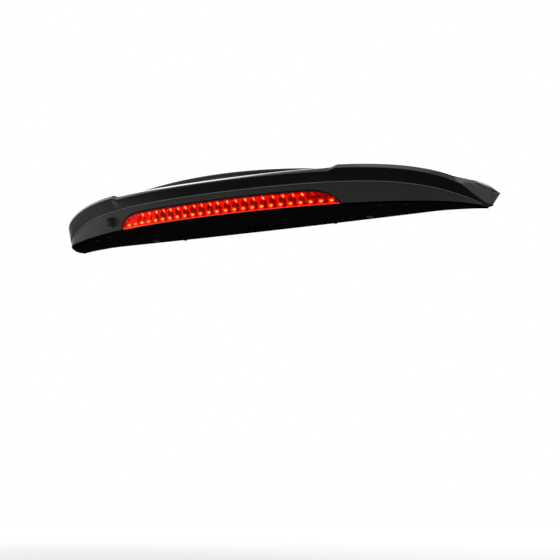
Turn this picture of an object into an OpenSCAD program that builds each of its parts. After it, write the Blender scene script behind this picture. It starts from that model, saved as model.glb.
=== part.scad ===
// Roof spoiler for the top of a tailgate, with a third brake light and a washer jet.
// Millimetres. +X is the car's right, +Y is forward and +Z is up.
// The origin is the middle of the four fixing holes, on the face that lies on the tailgate.

/* [Plan] */
// Width over both ends
spoiler_w = 1170; // [1060:2:1300]
// Depth from the middle of the rear bottom edge to the front edge
spoiler_d = 220; // [200:1:250]
// How much shorter the depth is at the ends
front_bow = 20; // [0:1:30]
// How far the rear edge sweeps forward over half the width
sweep_d = 124; // [90:1:128]
// Width of the turned corner at each end
corner_w = 58; // [42:1:80]
// Depth that the corner adds to the sweep
corner_d = 60; // [30:1:62]
// How far the bottom tip lies inside the widest point
end_tuck = 10; // [6:1:16]
// Rear bottom edge to the middle of the fixing holes
mount_back = 150; // [146:1:154]

/* [Heights] */
// Rear bottom edge over the fixing face
edge_z = 10; // [4:0.5:14]
// Rise of the bottom edge towards the quarter points
edge_crown = 4; // [0:0.5:6]
// Drop of the bottom edge from the middle to the tip
tip_drop = 15; // [8:1:18]
// Height of the grey rear panel
panel_h = 43; // [38:0.5:46]
// How far the top of the panel leans back
panel_lean = 23; // [14:0.5:26]
// Height of the lip face in the recess, from the bottom edge
recess_h = 64; // [60:0.5:68]
// Height of the raised side face, from the bottom edge
horn_h = 74; // [70:0.5:80]
// Height of the top of the chamfer at the tips, from the bottom edge
tip_h = 29; // [24:0.5:34]
// Top of the crest behind the recess, from the bottom edge
crest_h = 90.5; // [84:0.5:96]
// Fall of the crest over half the width
crest_crown = 65; // [50:1:75]
// Top of the front edge, from the bottom edge
front_h = 107; // [98:0.5:112]
// Fall of the front edge over half the width
roof_crown = 73; // [60:1:76]
// Extra fall of the rounded shoulder at each end
shoulder_drop = 21; // [10:1:24]
// Width of that shoulder
shoulder_w = 86; // [60:1:110]

/* [Lip] */
// How far the lip face leans back over the bottom edge in the middle
lip_back = 26; // [22:0.5:30]
// More lean at the raised sides
horn_back = 30; // [20:0.5:34]
// Depth of the chamfer on top of the raised sides
chamfer_d = 10; // [7:0.5:13]
// Height of the rounded edge in the recess
lip_round_h = 6; // [4:0.5:7]
// Half width of the low recess
recess_half = 288; // [270:1:300]
// Length of the ramp from the recess to the raised side
ramp_l = 24; // [18:1:36]
// Width of the cap on the top skin at the raised sides
cap_reach = 55; // [40:1:70]
// Step of the cap over the grey panel
cap_step = 3.8; // [3.6:0.1:4.5]

/* [Walls] */
// Wall of the base shell
base_wall = 2.8; // [2.2:0.1:3.2]
// Wall of the cap
cap_wall = 2.5; // [2:0.1:2.8]
// Wall of the lower shell
lower_wall = 2.5; // [2:0.1:3]
// Depth of the returned flange at the rear bottom edge
flange_d = 28; // [27:0.5:32]
// Drop of the flange at the front edge
front_flange_h = 10; // [6:0.5:12]
// Gap between pieces that seat on each other
seat_gap = 0.3; // [0.2:0.05:0.4]

/* [Brake light] */
// Half length of the light along its lower edge
lamp_half = 304; // [280:1:312]
// Length of each rounded end
lamp_end = 72; // [50:1:90]
// Share of the panel height that the light takes
lamp_share = 0.7; // [0.62:0.01:0.74]
// Gap for the gasket round the lens
lamp_gap = 1.9; // [1.6:0.1:2.4]
// Wall of the lens
lens_wall = 2.5; // [2:0.1:3]
// Depth of the lens with its returned edge
lens_d = 10; // [9:0.5:11]
// Depth of the light from the lens face to its back
lamp_d = 24; // [23:0.5:25]
// Wall of the housing
housing_wall = 2; // [1.6:0.1:2.4]
// Number of LEDs in the lower row
led_count = 25; // [15:2:29]
// Spacing of the LEDs
led_pitch = 23.3; // [20:0.1:24]
// Size of an LED
led_size = 3; // [2:0.1:3.4]
// Radius of the window round each LED
led_window_r = 2.9; // [2.6:0.1:3.2]
// Width of an oval pocket
pocket_w = 11; // [8:0.5:12]
// Height of an oval pocket
pocket_h = 15; // [13:0.5:16]
// Depth of an oval pocket
pocket_d = 5; // [3:0.5:5.5]
// Thickness of the reflector
reflector_t = 7.5; // [6:0.1:8]
// Thickness of the LED board
board_t = 1.6; // [1:0.1:2]
// Middle of the socket, from the middle of the light
socket_x = 60; // [-80:1:80]
// Width of the socket
socket_w = 24; // [20:1:30]
// Height of the socket
socket_h = 12; // [10:0.5:13]
// Depth of the socket
socket_d = 16; // [12:1:20]
// Radius of the two lamp screws
lamp_screw_r = 2; // [1.5:0.1:2.2]

/* [Washer jet] */
// Gap from the end of the light to the middle of the jet
jet_gap = 33; // [28:1:46]
// Height of the jet over the bottom edge
jet_h = 20.5; // [19:0.5:22]
// Radius of the knob
jet_r = 12; // [10:0.5:12.5]
// Length of the knob
jet_l = 13; // [9:0.5:16]
// Radius of the threaded neck
jet_neck_r = 8; // [6:0.5:8.5]
// Radius of the nozzle ball
jet_ball_r = 3.5; // [2.5:0.1:4]
// Radius of the hose barb
jet_barb_r = 3; // [2:0.1:3.5]

/* [Fixing] */
// Spacing of the fixing holes across the car
fix_x = 660; // [600:1:680]
// Spacing of the fixing holes along the car
fix_y = 56; // [48:1:58]
// Radius of the threaded hole in an insert
insert_bore_r = 3; // [2.5:0.5:4]
// Outer radius of an insert
insert_r = 6; // [5:0.5:7]
// Length of an insert
insert_l = 18; // [12:1:22]
// Radius of a boss round an insert
boss_r = 11; // [9.5:0.5:12]
// Thickness of a steel mounting plate
plate_t = 2; // [1.5:0.1:3]
// Spacing of the two locating pins
pin_spacing = 420; // [380:1:460]
// Radius of a locating pin
pin_r = 4; // [3:0.1:5]
// Length of a locating pin below the fixing face
pin_l = 10; // [8:0.5:14]
// Width of the harness opening
harness_w = 56; // [40:1:64]
// Depth of the harness opening
harness_d = 50; // [36:1:60]

/* [Seals] */
// Depth of the front seal
seal_d = 4; // [3:0.5:6]
// Height of the front seal
seal_h = 8; // [6:0.5:9]
// Length of a pad under the light
pad_l = 30; // [20:1:40]
// Radius of a side buffer
buffer_r = 8; // [6:0.5:10]
// Height of a side buffer
buffer_h = 4; // [3:0.5:6]
// Gap from the end of the light to the first push rivet
rivet_gap = 71; // [66:1:80]
// Gap between the two rivets of a side
rivet_pitch = 55; // [40:1:60]

/* [Hidden] */
$fn = 48;

half_w = spoiler_w / 2;
tip_x = half_w - end_tuck;
corner_s = 1 - corner_w / tip_x;
cap_lip = 2.3;
cap_end = 0.997;
hollow_end = corner_s + 0.8 * (1 - corner_s);
base_end = corner_s + 0.77 * (1 - corner_s);
lower_end = corner_s + 0.7 * (1 - corner_s);
tape_h = 9;
colour_base = "#3a3b3c";
colour_cap = "#0d0d0e";
colour_under = "#161616";
colour_red = "#c8140c";
colour_steel = "#b4b6b8";
colour_rubber = "#1c1c1c";
screw_x = lamp_half / 2 - 2;
jet_x = -lamp_half - jet_gap;
rivet_xs = [lamp_half + rivet_gap, lamp_half + rivet_gap + rivet_pitch];
rivet_y = 0.72 * flange_d;
screw_y = 0.8 * flange_d;
land_s = 0.9 * corner_s * 7 / 9 + 0.02;
pad_xs = [85, 225];
buffer_x = fix_x / 2 - 32;
boss_h = 16;
pin_shank_r = pin_r - 0.9;
jet_wall = base_wall + 0.4;

// Small helpers
function clamp01(x) = min(1, max(0, x));
function smooth(a, b, x) = let (t = clamp01((x - a) / (b - a))) t * t * (3 - 2 * t);
function mix(a, b, t) = a * (1 - t) + b * t;
function unit(v) = v / norm(v);
function ascend(v) = len(v) < 2 ? v :
    let (p = v[0], r = [for (i = [1:len(v) - 1]) v[i]])
    concat(ascend([for (e = r) if (e < p) e]), [p], ascend([for (e = r) if (e >= p) e]));
function spaced(v, gap) = [for (i = [0:len(v) - 1]) if (i == 0 || v[i] - v[i - 1] >= gap) v[i]];

// Points of a rounded corner at q between p and r, as a short curve of n + 1 points
function rounded(p, q, r, size, n) =
    let (a = q + unit(p - q) * min(size, 0.4 * norm(p - q)),
         b = q + unit(r - q) * min(size, 0.4 * norm(r - q)))
    [for (i = [0:n]) let (t = i / n) a * (1 - t) * (1 - t) + q * 2 * t * (1 - t) + b * t * t];

// A section line moved sideways by d, to its right-hand side, with mitred corners
function side_of(p, q) = let (v = unit(q - p)) [v.y, -v.x];
function moved(line, d) = [for (i = [0:len(line) - 1])
    let (a = i == 0 ? side_of(line[0], line[1]) : side_of(line[i - 1], line[i]),
         b = i == len(line) - 1 ? a : side_of(line[i], line[i + 1]))
    line[i] + (a + b) * d / (1 + a * b)];

// Rear guide curves, as [y, z] from the middle of the bottom edge, for s from -1 to 1 over the width
function corner(s) = max(0, abs(s) - corner_s) / (1 - corner_s);
function sweep_y(s) = sweep_d * s * s + corner_d * pow(corner(s), 3);
function slope(s) = (sweep_y(abs(s) + 0.004) - sweep_y(abs(s) - 0.004)) / (0.008 * tip_x);
function turn(s) = min(2.2, sqrt(1 + slope(s) * slope(s)));
function horn(s) = smooth(recess_half, recess_half + ramp_l, abs(s) * tip_x);
function edge(s) = [sweep_y(s), edge_z + edge_crown * s * s - (edge_crown + tip_drop) * pow(s, 4)];
function parting(s) = edge(s) + [-panel_lean * (1 - s * s), panel_h * pow(1 - pow(s, 6), 0.85)];
function lip(s) = edge(s)
    + [-lip_back * (1 - pow(s, 4)) - horn_back * s * s * (1 - s * s),
       mix(recess_h - 20 * s * s, horn_h * pow(1 - pow(s, 6), 0.55), horn(s))];
function top_edge(s) = [lip(s).x + chamfer_d,
    edge(s).y + mix(recess_h + lip_round_h - edge_crown * s * s,
        tip_h + (horn_h + chamfer_d - tip_h) * pow(1 - pow(s, 6), 0.75), horn(s))];
function shoulder(s) = pow(max(0, 1 - half_w * (1 - abs(s)) / shoulder_w), 3);
function front_edge(s) = [spoiler_d - front_bow * s * s,
    edge_z + front_h - roof_crown * s * s - shoulder_drop * shoulder(s)];

// Base shell guides, under the cap where it covers them
function panel_top(s) = parting(s) + [cap_step * turn(s), 0];
function panel(s, q) = mix(edge(s), panel_top(s), q);
function tape_reach(s) = unit(lip(s) - parting(s)) * min(tape_h + 1, 0.35 * norm(lip(s) - parting(s)));
function tape_land(s) = panel_top(s) + tape_reach(s);
function crest(s) = mix([edge(s).x + 2, edge_z + crest_h - crest_crown * s * s],
    top_edge(s) + [2 * turn(s), -cap_wall * turn(s) - 2.8],
    smooth(recess_half - 14, recess_half + 0.3 * ramp_l, abs(s) * tip_x));
function base_front(s) = front_edge(s)
    - [cap_wall * turn(s) + 1, cap_wall * turn(s) + 0.8] * smooth(0.7, 0.78, abs(s));
function skin_mid(s) = mix(crest(s), base_front(s), 0.5) + [0, 2 * (1 - s * s)];
function skin_z(s, y) = lookup(y, [for (p = [crest(s), skin_mid(s), base_front(s)]) [p.x, p.y]]);
function flange(s) = min(flange_d, 0.3 * (base_front(s).x - edge(s).x));

// Height of the light's upper edge on the panel, as a share of the panel, with its rounded ends
function lamp_q(s, grow) =
    let (a = abs(s) * tip_x, u = clamp01((a - (lamp_half + grow - lamp_end)) / lamp_end))
    (lamp_share + grow / panel_h) * pow(1 - pow(u, 2.2), 0.7);

// Stations across the width, closer at the ends of the light, at the ramps and at the corners
half_stations = spaced(ascend(concat(
    [for (i = [0, 1, 2, 3, 4, 5, 6, 7, 7.5, 8, 8.5, 9]) corner_s * i / 9],
    [for (t = [0, 0.36, 0.62, 0.8, 0.93, 1]) (lamp_half - lamp_end * (1 - t)) / tip_x],
    [for (t = [0, 0.3, 0.7, 1]) (recess_half + ramp_l * t) / tip_x],
    [for (t = [0.26, 0.48, 0.66, 0.8, 0.92]) corner_s + (1 - corner_s) * t])), 0.007);
function stations(last) =
    let (h = [for (s = half_stations) if (s < last - 0.004) s], n = len(h))
    concat([-last], [for (i = [n - 1:-1:1]) -h[i]], h, [last]);

// A section [y, z] placed at station s, with x growing from the rear line to the front edge, and
// from the bottom edge upwards at the ends
function reach(s, p) = mix(clamp01((p.x - edge(s).x) / (front_edge(s).x - edge(s).x)),
    clamp01((p.y - edge(s).y - 2) / tip_h), smooth(0.9, 0.985, abs(s)));
function placed(s, line) = [for (p = line) [s * mix(tip_x, half_w, reach(s, p)), p.x - mount_back, p.y]];

// A curved sheet between two grids of points, closed on its four edges
module sheet(a, b) {
    m = len(a);
    k = len(a[0]);
    far = m * k;
    polyhedron(points = concat([for (r = a) each r], [for (r = b) each r]), faces = concat(
        [for (i = [0:m - 2], j = [0:k - 2]) each quad(i * k + j, i * k + j + 1,
            i * k + k + j + 1, i * k + k + j)],
        [for (i = [0:m - 2], j = [0:k - 2]) each quad(far + i * k + j, far + i * k + k + j,
            far + i * k + k + j + 1, far + i * k + j + 1)],
        [for (i = [0:m - 2]) each quad(i * k, i * k + k, far + i * k + k, far + i * k)],
        [for (i = [0:m - 2]) each quad(i * k + k - 1, far + i * k + k - 1,
            far + i * k + 2 * k - 1, i * k + 2 * k - 1)],
        [for (j = [0:k - 2]) each quad(j, far + j, far + j + 1, j + 1)],
        [for (j = [0:k - 2]) each quad((m - 1) * k + j, (m - 1) * k + j + 1, far + (m - 1) * k + j + 1,
            far + (m - 1) * k + j)]));
}
function quad(a, b, c, d) = [[a, b, c], [a, c, d]];

// Base shell: flange, grey panel, crest, top skin and front flange
function base_line(s) =
    let (low = panel(s, lamp_q(s, 0)), inner = low + [flange(s), 0],
         top = panel_top(s), land = tape_land(s), k = crest(s), f = base_front(s),
         mid = skin_mid(s), end = f - [0, front_flange_h])
    concat([inner], rounded(inner, low, top, 3.2, 1), [top, land], rounded(land, k, mid, 12, 3), [mid],
        rounded(mid, f, end, 3.2, 1), [end]);
module base_skin() {
    s = stations(base_end);
    sheet([for (t = s) placed(t, base_line(t))], [for (t = s) placed(t, moved(base_line(t), base_wall))]);
}

// Cap: lip face, chamfer, top and forward edge
function scarp_y(s, z) = let (a = tape_land(s), b = crest(s)) a.x + (b.x - a.x) * (z - a.y) / (b.y - a.y);
function rim_horn(s) = smooth(recess_half - 1, recess_half + ramp_l, abs(s) * tip_x);
function cap_front(s) =
    let (e = top_edge(s), f = front_edge(s), low = e.y - 0.8,
         in_recess = [scarp_y(s, low) - 0.4, low],
         y = mix(e.x + cap_reach, f.x, smooth(0.55, 0.88, abs(s))),
         on_skin = [y, skin_z(s, y) + cap_wall * turn(s) + seat_gap + 0.3])
    mix(mix(in_recess, on_skin, rim_horn(s)), f, smooth(0.82, 0.88, abs(s)));
function cap_edge(s) =
    let (f = cap_front(s), low = top_edge(s).y - 0.8,
         drop = mix(cap_lip, 12, smooth(0.88, hollow_end, abs(s))))
    mix(f + [scarp_y(s, low - cap_lip) - scarp_y(s, low), -cap_lip],
        mix(f - [0, drop], edge(s) + [4, 1], smooth(hollow_end, 1, abs(s))), rim_horn(s));
function cap_line(s) =
    let (a = parting(s), d = lip(s), e = top_edge(s), f = cap_front(s),
         mid = mix(e, f, 0.5) + [0, 1.5 * horn(s)])
    concat([a, a + tape_reach(s)], rounded(a, d, e, mix(5, 3, horn(s)), 2),
        rounded(d, e, mid, 3, 2), [mid, f, cap_edge(s)]);
function shrunk(line, t) = let (c = mix(line[0], line[len(line) - 1], 0.5)) [for (p = line) mix(p, c, t)];
function cap_inner(s) = abs(s) > hollow_end + 0.004 ? shrunk(cap_line(s), 0.9)
    : moved(cap_line(s), cap_wall * min(turn(s), 1.8));
module spoiler_cap() {
    s = stations(cap_end);
    color(colour_cap)
        sheet([for (t = s) placed(t, cap_line(t))],
            [for (t = s) placed(t, cap_inner(t))]);
}

// Places on the panel: the row of flat facets between two stations, and a place turned with the panel
chords = [for (s = half_stations) [s * tip_x, sweep_y(s)]];
function chord(x) = lookup(abs(x), chords);
function yaw(x) = atan((chord(x + 4) - chord(x - 4)) / 8);
function panel_rise(s) = panel_top(s) - edge(s);
function lean(s) = atan(-panel_rise(s).x / panel_rise(s).y);
module on_panel(x, h, depth = 0) {
    s = x / tip_x;
    p = panel(s, h / panel_rise(s).y);
    translate([x, chord(x) + p.x - edge(s).x + depth - mount_back, p.y])
        rotate([90 + lean(s), 0, yaw(x)]) children();
}
module on_ledge(x, depth, z) {
    translate([x, chord(x) + depth - mount_back, edge(x / tip_x).y + z]) children();
}
module both_sides() for (side = [-1, 1]) scale_x(side) children();
module scale_x(side) if (side > 0) children(); else mirror([1, 0, 0]) children();
module at_fixings() {
    for (x = [-fix_x / 2, fix_x / 2], y = [-fix_y / 2, fix_y / 2]) translate([x, y, 0]) children();
}
module tube(outer, inner, h) {
    linear_extrude(h) difference() {
        circle(outer);
        circle(inner);
    }
}

module base_shell() {
    color(colour_base) difference() {
        base_skin();
        on_panel(jet_x, jet_h) translate([0, 0, -10]) cylinder(r = jet_neck_r + 0.25, h = 14);
        for (x = rivet_xs, side = [-1, 1]) on_ledge(side * x, rivet_y, -2) cylinder(r = 3.2, h = 8);
    }
}

// Lower shell: front wall, land on the tailgate and ledge under the flange
function land_z(s) = let (t = max(0, abs(s) - land_s) / (lower_end - land_s))
    (edge(lower_end).y - seat_gap - lower_wall - 1) * t * t;
function lower_line(s) =
    let (f = base_front(s), fy = f.x - base_wall - seat_gap, top = f.y - base_wall - 3, z = land_z(s),
         rear = edge(s) + [0.42 * flange(s), -seat_gap - lower_wall],
         ledge = [edge(s).x + flange(s) + 5, rear.y],
         foot = [fy - min(18, 0.2 * (fy - ledge.x)), z], start = [ledge.x + 0.24 * (fy - ledge.x), z],
         bend = rounded([fy, top], [fy, mix(z, top, 0.4)], foot, 8, 1))
    concat([[fy, top]], bend, [foot, start, ledge, rear]);
module lower_skin() {
    s = stations(lower_end);
    sheet([for (t = s) placed(t, lower_line(t))], [for (t = s) placed(t, moved(lower_line(t), lower_wall))]);
}
module lower_ribs() {
    for (y = [-fix_y / 2, fix_y / 2]) translate([-fix_x / 2, y - 1.2, 1]) cube([fix_x, 2.4, 8]);
    for (x = [-fix_x / 2, -fix_x / 4, fix_x / 4, fix_x / 2])
        translate([x - 1.2, -fix_y / 2, 1]) cube([2.4, fix_y, 11]);
    translate([-harness_w / 2 - 4, -harness_d / 2 - 4, 1]) cube([harness_w + 8, harness_d + 8, 10]);
}
module lower_shell() {
    color(colour_under) difference() {
        union() {
            lower_skin();
            lower_ribs();
            at_fixings() cylinder(r = boss_r, h = boss_h);
            for (side = [-1, 1]) translate([side * pin_spacing / 2, 0, 0]) cylinder(r = pin_r + 4, h = 14);
        }
        at_fixings() translate([0, 0, -1]) cylinder(r = insert_r + 0.2, h = boss_h + 2);
        for (side = [-1, 1]) {
            translate([side * pin_spacing / 2, 0, -1]) cylinder(r = pin_shank_r + 0.1, h = 16);
            translate([side * buffer_x, 0, -1]) cylinder(r = buffer_r / 2 + 0.2, h = 6);
            on_ledge(side * screw_x, screw_y, -6) cylinder(r = lamp_screw_r + 0.3, h = 8);
            for (x = rivet_xs) on_ledge(side * x, rivet_y, -6) cylinder(r = 3.2, h = 8);
        }
        translate([-harness_w / 2, -harness_d / 2, -1]) cube([harness_w, harness_d, 14]);
    }
}

// Two tapes on the panel under the cap
module cap_tapes() {
    parts = [[0.02, (recess_half - 1) / tip_x], [(recess_half + ramp_l - 1) / tip_x, 0.78]];
    for (side = [-1, 1], part = parts) color("#2a2a2a")
        let (s = [for (t = half_stations) if (t > part[0] && t < part[1]) t])
        scale_x(side) sheet([for (t = s) placed(t, tape_line(t, 0.6))],
            [for (t = s) placed(t, tape_line(t, 0.4))]);
}
function tape_line(s, share) =
    let (u = unit(lip(s) - parting(s)), t = (cap_step * u.y - cap_wall) * turn(s),
         h = norm(tape_reach(s)) - 1.5)
    [for (d = [1, h]) panel_top(s) + u * d - [t * share / u.y, 0]];

// Brake light: pieces follow the panel and are set back from it along Y
lamp_last = (lamp_half - 5) / tip_x;
function lamp_low(s, up) = panel(s, (0.9 + up) / panel_rise(s).y);
function lamp_high(s, down) = panel(s, lamp_q(s, -lamp_gap) - down / panel_rise(s).y);
function shifted(line, d) = [for (p = line) p + [d, 0]];
function lens_line(s) =
    let (a = lamp_low(s, 0), b = lamp_high(s, 0))
    concat([a + [lens_d, 0]], rounded(a + [lens_d, 0], a, b, 1.5, 1),
        rounded(a, b, b + [lens_d, 0], 1.5, 1), [b + [lens_d, 0]]);
module lamp_lens() {
    s = stations(lamp_last);
    color(colour_red) sheet([for (t = s) placed(t, lens_line(t))], [for (t = s)
        placed(t, shrunk(moved(lens_line(t), lens_wall), abs(t) > lamp_last - 0.001 ? 0.5 : 0))]);
}

function housing_line(s) =
    let (a = lamp_low(s, 0), b = lamp_high(s, 0), d = lens_d + 0.25)
    [b + [d, 0], b + [lamp_d, 0], a + [lamp_d, 0], a + [d, 0]];
function back_y(x, z) = chord(x) + lamp_d - mount_back
    - (z - edge(x / tip_x).y) * panel_lean / panel_h * (1 - cap_step / panel_lean);
module along_x(x, w) translate([x - w / 2, 0, 0]) rotate([90, 0, 90]) linear_extrude(w) children();
module socket_shape(inset, from, to) {
    lo = edge_z + 7 + inset;
    hi = edge_z + 7 + socket_h - inset;
    polygon([[back_y(socket_x, lo) + from, lo], [back_y(socket_x, edge_z) + to, lo],
        [back_y(socket_x, edge_z) + to, hi], [back_y(socket_x, hi) + from, hi]]);
}
module lamp_housing() {
    s = stations(lamp_last);
    color("#202022") difference() {
        union() {
            sheet([for (t = s) placed(t, housing_line(t))], [for (t = s)
                placed(t, shrunk(moved(housing_line(t), housing_wall), abs(t) > lamp_last - 0.001 ? 0.5 : 0))]);
            along_x(socket_x, socket_w) socket_shape(0, -1, socket_d);
            for (side = [-1, 1])
                on_ledge(side * screw_x, screw_y, 0) cylinder(r = lamp_screw_r + 2.4, h = 14);
        }
        along_x(socket_x, socket_w - 4) socket_shape(2, 0.3, socket_d + 1);
        for (n = [-1, 0, 1]) along_x(socket_x + 6 * n, 2.4) terminal_shape(0.2, -5);
        for (side = [-1, 1])
            on_ledge(side * screw_x, screw_y, -2) cylinder(r = lamp_screw_r + 0.1, h = 14);
    }
}
module terminal_shape(grow, from) {
    z = edge_z + 7 + socket_h / 2;
    translate([back_y(socket_x, z) + from, z - 0.4 - grow]) square([socket_d - 4 - from, 0.8 + 2 * grow]);
}
module socket_terminals() {
    for (n = [-1, 0, 1]) color("#c9a84a") along_x(socket_x + 6 * n, 2) terminal_shape(0, -5.7);
}

// Ring of foam between the lens and the opening of the panel
opening_qs = [for (s = half_stations) [s, lamp_q(s, 0)]];
function gasket_line(s) =
    let (hi = panel(s, lookup(abs(s), opening_qs) - 0.3 / panel_rise(s).y),
         lo = abs(s) > lamp_last + 0.0004 ? lamp_low(s, 0) : lamp_high(s, -0.15))
    [lo + [0.6, 0], hi + [0.6, 0]];
module lamp_gasket() {
    last = (lamp_half - 2) / tip_x;
    inner = stations(lamp_last);
    s = concat([-last, -lamp_last - 0.0012], inner, [lamp_last + 0.0012, last]);
    color(colour_rubber)
        sheet([for (t = s) placed(t, gasket_line(t))],
            [for (t = s) placed(t, shifted(gasket_line(t), lens_d - 1))]);
}

// Reflector plate with oval pockets between the windows of the LEDs
plate_last = (lamp_half - 20) / tip_x;
function plate_line(s, d) = shifted([lamp_low(s, lens_wall + 0.3), lamp_high(s, lens_wall + 0.3)], d);
function led_x(i) = (i - (led_count - 1) / 2) * led_pitch;
led_h = 0.2 * panel_h;
board_back = 2 * lens_d - 4;
module lamp_reflector() {
    s = stations(plate_last);
    color("#8c0f0a") difference() {
        sheet([for (t = s) placed(t, plate_line(t, 6))],
            [for (t = s) placed(t, plate_line(t, 6 + reflector_t))]);
        for (i = [0:led_count - 1]) on_panel(led_x(i), led_h, 6) translate([0, 0, -14])
            cylinder(r = led_window_r, h = 18, $fn = 10);
        for (i = [2:led_count - 2]) on_panel(led_x(i) - led_pitch / 2, 4 + pocket_h / 2 + 1, 6)
            translate([0, 0, -pocket_d]) linear_extrude(pocket_d + 4) oval(pocket_w / 2, pocket_h / 2);
    }
}
module oval(a, b) {
    polygon([for (i = [0:13]) let (t = i * 360 / 14) [a * cos(t), b * sin(t)]]);
}
module led_board() {
    s = stations(plate_last);
    color("#1f5a34") sheet([for (t = s) placed(t, board_line(t, board_back))], [for (t = s)
        placed(t, board_line(t, board_back + board_t))]);
}
function board_line(s, d) =
    shifted([lamp_low(s, housing_wall + 0.25), lamp_high(s, housing_wall + 0.25)], d);
module leds() {
    for (i = [0:led_count - 1]) color("#ffe2a0") on_panel(led_x(i), led_h, board_back)
        translate([-led_size / 2, -led_size / 2, 0.3]) cube([led_size, led_size, 1.3]);
}
module board_components() {
    for (n = [-9.5, -8.5, -4.5, -2.5, 0.5, 4.5, 8.5, 9.5]) color("#222222")
        on_panel(n * led_pitch, 14, board_back + board_t)
            translate([-led_size, -led_size / 2, -1.9]) cube([2 * led_size, led_size + 1, 1.4]);
}
module lamp_screws() {
    for (side = [-1, 1]) color("#2b2b2b") on_ledge(side * screw_x, screw_y, -seat_gap - lower_wall - 0.3) {
        translate([0, 0, -2.2]) cylinder(r = lamp_screw_r + 2, h = 2.2);
        cylinder(r = lamp_screw_r, h = 14);
    }
}
module lamp_pads() {
    for (x = pad_xs, side = [-1, 1]) color(colour_rubber) on_ledge(side * x, 16.5, -seat_gap + 0.1)
        translate([-pad_l / 2, -4, 0]) cube([pad_l, 7, 0.95]);
}

// Washer jet, drawn outwards from the face of the panel
module jet_body() {
    color("#2c2d2f") on_panel(jet_x, jet_h) rotate_extrude() difference() {
        polygon([[0, -14], [jet_neck_r, -14], [jet_neck_r, 1.4], [jet_r, 1.4], [jet_r, jet_l - 1.2],
            [jet_r - 1.6, jet_l + 0.8], [0, jet_l + 1.4]]);
        translate([0, jet_l - 1.5]) circle(jet_ball_r + 0.15);
        translate([0, -20]) square([jet_barb_r - 0.2, 14]);
        translate([0, -8]) square([1.2, jet_l + 8]);
        translate([-20, -30]) square([20, 60]);
    }
}
module jet_nozzle() {
    color("#101010") on_panel(jet_x, jet_h) rotate_extrude() intersection() {
        translate([0, jet_l - 1.5]) circle(jet_ball_r);
        translate([0.5, -30]) square([20, 60]);
    }
}
module jet_gasket() {
    color(colour_rubber) on_panel(jet_x, jet_h)
        translate([0, 0, 0.5]) tube(jet_r - 0.6, jet_neck_r + 0.25, 0.8);
}
module jet_nut() {
    color("#2c2d2f") on_panel(jet_x, jet_h)
        translate([0, 0, -jet_wall - 5]) linear_extrude(5) difference() {
            circle(jet_neck_r + 4.5, $fn = 6);
            circle(jet_neck_r + 0.2);
        }
}
module jet_barb() {
    r = jet_barb_r;
    color("#202020") on_panel(jet_x, jet_h) rotate_extrude()
        polygon([[1, -8], [r - 0.4, -8], [r - 0.4, -14.1], [r + 2.5, -14.1], [r + 2.5, -15.6],
            [r - 0.6, -15.6], [r - 0.6, -18], [r + 0.4, -18], [r - 0.6, -22], [r - 0.6, -23],
            [r + 0.4, -23], [r - 0.8, -27], [1, -27]]);
}

// Fixing pieces on the land
module threaded_inserts() {
    head = boss_h + plate_t + 0.5;
    color(colour_steel) at_fixings() rotate_extrude()
        polygon([[insert_bore_r, 0], [insert_r, 0], [insert_r, head], [insert_r + 3, head],
            [insert_r + 3, head + 3], [0, head + 3], [0, insert_l - 1], [insert_bore_r, insert_l - 1]]);
}
module mounting_plates() {
    for (side = [-1, 1]) color(colour_steel)
        translate([side * fix_x / 2, 0, boss_h + 0.25]) linear_extrude(plate_t) difference() {
            square([2 * boss_r + 6, fix_y + 2 * boss_r + 6], center = true);
            for (y = [-fix_y / 2, fix_y / 2]) translate([0, y]) circle(insert_r + 0.2);
            circle(8);
        }
}
module locating_pins() {
    for (side = [-1, 1]) color("#1a1a1a") translate([side * pin_spacing / 2, 0, 0]) rotate_extrude()
        polygon([[0, -pin_l], [pin_r - 1.2, -pin_l], [pin_r, 1.2 - pin_l], [pin_r, -0.1],
            [pin_shank_r, -0.1], [pin_shank_r, 13], [0, 13]]);
}
module side_buffers() {
    for (side = [-1, 1]) color(colour_rubber) translate([side * buffer_x, 0, 0]) rotate_extrude()
        polygon([[0, -buffer_h], [buffer_r - 1, -buffer_h], [buffer_r, 1 - buffer_h], [buffer_r, -0.1],
            [buffer_r / 2, -0.1], [buffer_r / 2, lower_wall + 0.2], [buffer_r / 2 + 1.5, lower_wall + 0.2],
            [buffer_r / 2, lower_wall + 4], [0, lower_wall + 4]]);
}
function seal_line(s) =
    let (f = base_front(s), y = f.x - base_wall - seat_gap + 0.1, z = f.y - front_flange_h - 2)
    [[y + seal_d, z - seal_h], [y + seal_d, z]];
module front_seal() {
    h = [for (t = half_stations) if (t > 0.001 && t < 0.83) t];
    s = concat([for (i = [len(h) - 1:-1:0]) -h[i]], [0], h);
    color(colour_rubber) sheet([for (t = s) placed(t, shifted(seal_line(t), -seal_d))],
        [for (t = s) placed(t, seal_line(t))]);
}
module push_rivets() {
    for (x = rivet_xs, side = [-1, 1]) color(colour_rubber)
        on_ledge(side * x, rivet_y, -seat_gap - lower_wall - 0.5) {
            translate([0, 0, -1.6]) cylinder(r = 5, h = 1.6);
            cylinder(r = 2.9, h = 9.2);
        }
}

base_shell();
lower_shell();
spoiler_cap();
cap_tapes();
lamp_lens();
lamp_housing();
lamp_gasket();
lamp_reflector();
led_board();
leds();
board_components();
socket_terminals();
lamp_screws();
lamp_pads();
jet_body();
jet_nozzle();
jet_gasket();
jet_nut();
jet_barb();
threaded_inserts();
mounting_plates();
locating_pins();
side_buffers();
front_seal();
push_rivets();
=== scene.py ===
"""Roof spoiler with a lit brake light and a washer jet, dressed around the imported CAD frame.

The shells, the lip and the light are lofted again from the same guide curves as the CAD source, only finer.
"""

from __future__ import annotations

import logging
import math
from collections.abc import Sequence
from dataclasses import dataclass, field
from enum import Enum

import bmesh
import bpy
from bmesh.types import BMesh
from bpy.types import Material, NodeSocket, NodeTree, Object
from mathutils import Matrix, Vector

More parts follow.
